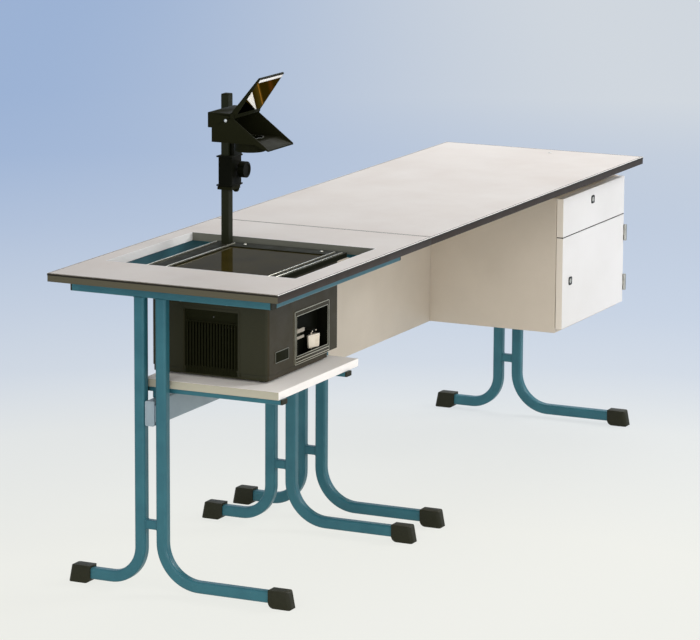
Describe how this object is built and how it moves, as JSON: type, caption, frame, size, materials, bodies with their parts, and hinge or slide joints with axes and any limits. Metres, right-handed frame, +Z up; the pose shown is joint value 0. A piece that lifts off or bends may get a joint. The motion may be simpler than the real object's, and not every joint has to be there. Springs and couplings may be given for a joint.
{
  "type": "projector table",
  "caption": "Teacher's desk and lower-shelf projector table on C-foot tube frames, with a built-in overhead projector, drawer, door and adjustable mirror head.",
  "frame": {"origin": "centre of the footprint on the floor", "axes": "+X along the table from the projector end to the cabinet end, +Y to the rear (modesty panel side), +Z up"},
  "size_m": [2.275, 0.6, 1.2013],
  "materials": {
    "laminate": "light grey laminate, satin",
    "edge_strip": "dark edge strip, satin",
    "frame_paint": "petrol blue powder coat, satin",
    "beam_paint": "pale blue-grey powder coat, satin",
    "black_cap": "black, matt",
    "light_board": "white coated board, satin",
    "greige_board": "grey-beige coated board",
    "drawer_board": "light grey coated board",
    "steel": "plated steel",
    "lock_metal": "nickel plated",
    "projector_shell": "dark olive-black, fine texture",
    "black_plastic": "black, matt",
    "rubber_foot": "black rubber",
    "cream_plastic": "cream, glossy",
    "lamp_glass": "clear quartz",
    "reflector_metal": "bright",
    "motor_metal": "dark zinc",
    "stage_pane": "clear, polished",
    "lens_plastic": "fine ringed acrylic",
    "lens_glass": "coated, polished",
    "mirror": "front-silvered"
  },
  "bodies": {
    "table": {"projector_top": "laminate", "desk_top": "laminate", "cutout_edge": "laminate", "projector_top_edge": "edge_strip", "desk_top_edge": "edge_strip", "table_near_frame": "frame_paint", "table_far_frame": "frame_paint", "desk_near_frame": "frame_paint", "desk_far_frame": "frame_paint", "table_long_rails": "frame_paint", "desk_long_rails": "frame_paint", "shelf_rails": "frame_paint", "stretcher_beam": "beam_paint", "foot_caps": "black_cap", "rail_plugs": "black_cap", "shelf_board": "light_board", "modesty_panel": "greige_board", "cabinet_sides": "greige_board", "cabinet_boards": "greige_board", "cabinet_back": "greige_board", "fixing_plates": "steel", "runner_rails": "steel", "hinge_side_leaves": "steel", "hinge_pins": "steel", "focus_rack": "steel", "projector_body": "projector_shell", "projector_base": "projector_shell", "column": "projector_shell", "side_grille": "black_plastic", "control_panel": "black_plastic", "stage_frame": "black_plastic", "mains_inlet": "black_plastic", "projector_feet": "rubber_foot", "lamp_reflector": "reflector_metal", "film_guides": "reflector_metal", "fan_motor": "motor_metal", "stage_glass": "stage_pane", "fresnel_lens": "lens_plastic"},
    "drawer": {"drawer_front": "light_board", "drawer_box": "drawer_board", "drawer_bottom": "drawer_board", "runner_slides": "steel", "drawer_lock_case": "lock_metal"},
    "drawer_lock": {"drawer_lock_plug": "lock_metal"},
    "door": {"door_panel": "light_board", "hinge_door_leaves": "steel", "door_lock_case": "lock_metal"},
    "door_lock": {"door_lock_plug": "lock_metal"},
    "switch": {"rocker_switch": "cream_plastic"},
    "lamp_carrier": {"lamp_changer": "cream_plastic", "lamps": "lamp_glass"},
    "fan": {"fan_rotor": "black_plastic"},
    "projector_head": {"focus_carriage": "projector_shell", "lens_housing": "black_plastic", "objective_barrel": "black_plastic", "objective_lens": "lens_glass", "head_screws": "steel"},
    "focus_pinion": {"focus_knob": "black_plastic"},
    "mirror": {"mirror_flap": "black_plastic", "mirror_glass": "mirror"}
  },
  "joints": [
    {"name": "drawer_slide", "type": "slide", "parent": "table", "child": "drawer", "axis": [0, -1, 0], "range_m": [0, 0.19]},
    {"name": "drawer_lock_turn", "type": "hinge", "parent": "drawer", "child": "drawer_lock", "pos_m": [0.891, -0.24, 0.673], "axis": [0, -1, 0], "range_deg": [0, 90]},
    {"name": "door_swing", "type": "hinge", "parent": "table", "child": "door", "pos_m": [1.1315, -0.253, 0.471], "axis": [0, 0, 1], "range_deg": [0, 110]},
    {"name": "door_lock_turn", "type": "hinge", "parent": "door", "child": "door_lock", "pos_m": [0.7355, -0.24, 0.4715], "axis": [0, -1, 0], "range_deg": [0, 90]},
    {"name": "rocker_tilt", "type": "hinge", "parent": "table", "child": "switch", "pos_m": [-0.6975, -0.169, 0.564], "axis": [0, 0, 1], "range_deg": [0, 14]},
    {"name": "lamp_change", "type": "slide", "parent": "table", "child": "lamp_carrier", "axis": [1, 0, 0], "range_m": [0, 0.036]},
    {"name": "fan_spin", "type": "hinge", "parent": "table", "child": "fan", "pos_m": [-0.9375, -0.0335, 0.593], "axis": [1, 0, 0], "continuous": true},
    {"name": "focus_slide", "type": "slide", "parent": "table", "child": "projector_head", "axis": [0, 0, 1], "range_m": [-0.05, 0.03]},
    {"name": "focus_turn", "type": "hinge", "parent": "projector_head", "child": "focus_pinion", "pos_m": [-0.5147, 0.138, 0.93], "axis": [0, -1, 0], "range_deg": [-330, 200]},
    {"name": "mirror_tilt", "type": "hinge", "parent": "projector_head", "child": "mirror", "pos_m": [-0.7455, -0.017, 1.106], "axis": [1, 0, 0], "range_deg": [-20, 88]}
  ],
  "couplings": [
    {"joint": "focus_turn", "follows": "focus_slide", "rad_per_m": 111.11}
  ]
}
